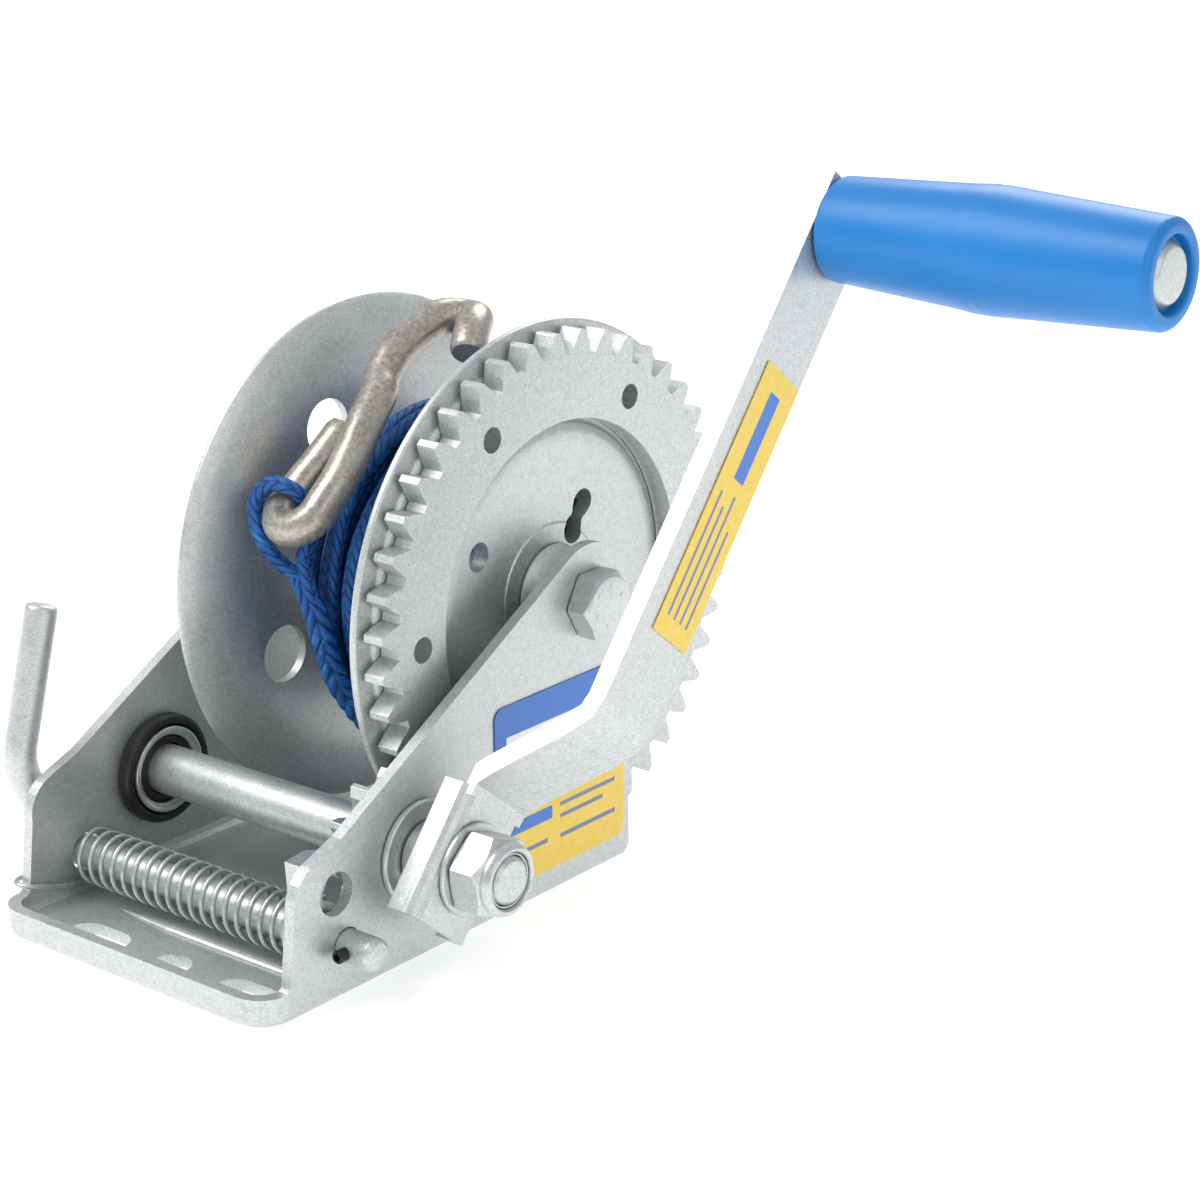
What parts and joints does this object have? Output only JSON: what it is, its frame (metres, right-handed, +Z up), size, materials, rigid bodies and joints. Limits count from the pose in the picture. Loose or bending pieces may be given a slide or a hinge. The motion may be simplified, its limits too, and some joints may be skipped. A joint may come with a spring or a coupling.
{
  "type": "boat trailer winch",
  "caption": "Geared hand winch in a pressed steel frame, with a flanged rope drum, sprung pawl lever, rope with S-hook, and a crank with a rotating grip.",
  "frame": {"origin": "underside of the base, midway between the two side plates, 66.5 mm behind the base's front edge", "axes": "+X along the axles towards the crank, -Y towards the end of the base with the three mounting holes, +Z up"},
  "size_m": [0.2384, 0.1875, 0.1796],
  "materials": {
    "galvanised_steel": "zinc-coated, fine grain, semi-matt",
    "zinc_steel": "bright zinc plated",
    "spring_steel": "bright drawn wire",
    "raw_steel": "dull hot-rolled, brownish",
    "black_steel": "blackened",
    "black_plastic": "satin moulded",
    "blue_plastic": "smooth moulded with a seam",
    "rope": "braided synthetic rope",
    "nylon": "satin",
    "label": "plain printed film"
  },
  "bodies": {
    "base": {"frame": "galvanised_steel", "side_label": "label", "axle_bolt": "zinc_steel", "axle_spacer": "zinc_steel", "axle_washer": "zinc_steel", "axle_nut": "zinc_steel", "far_bush": "black_plastic", "far_race": "zinc_steel", "far_seal": "black_plastic", "near_bush": "zinc_steel", "pawl_spring": "spring_steel"},
    "drum": {"near_flange": "galvanised_steel", "gear_wheel": "galvanised_steel", "far_flange": "galvanised_steel", "drum_barrel": "galvanised_steel", "near_hub_bush": "galvanised_steel", "far_hub_bush": "galvanised_steel", "rope_winding": "rope", "rope_tail": "rope", "rope_eye": "rope", "s_hook": "raw_steel"},
    "drive": {"drive_shaft": "galvanised_steel", "shaft_collar": "zinc_steel", "shaft_circlip": "black_steel", "pinion": "zinc_steel", "handle_arm": "galvanised_steel", "handle_washer": "zinc_steel", "handle_nut": "zinc_steel", "nylon_insert": "nylon", "grip_spindle": "zinc_steel", "arm_label": "label"},
    "hand_grip": {"grip": "blue_plastic"},
    "pawl_lever": {"pawl_rod": "galvanised_steel", "roll_pin": "black_steel", "pawl": "zinc_steel"}
  },
  "joints": [
    {"name": "drum_spin", "type": "hinge", "parent": "base", "child": "drum", "pos_m": [0, 0.052, 0.073], "axis": [1, 0, 0], "continuous": true},
    {"name": "drive_spin", "type": "hinge", "parent": "base", "child": "drive", "pos_m": [0, -0.01328, 0.02763], "axis": [1, 0, 0], "continuous": true},
    {"name": "grip_spin", "type": "hinge", "parent": "drive", "child": "hand_grip", "pos_m": [0, 0.0993, 0.1642], "axis": [1, 0, 0], "continuous": true},
    {"name": "pawl_pivot", "type": "hinge", "parent": "base", "child": "pawl_lever", "pos_m": [0, -0.0386, 0.0125], "axis": [1, 0, 0], "range_deg": [0, 40], "stiffness_Nm_per_rad": 0.15, "springref_deg": -22.92}
  ],
  "couplings": [
    {"joint": "drive_spin", "follows": "drum_spin", "ratio": -4.3}
  ]
}
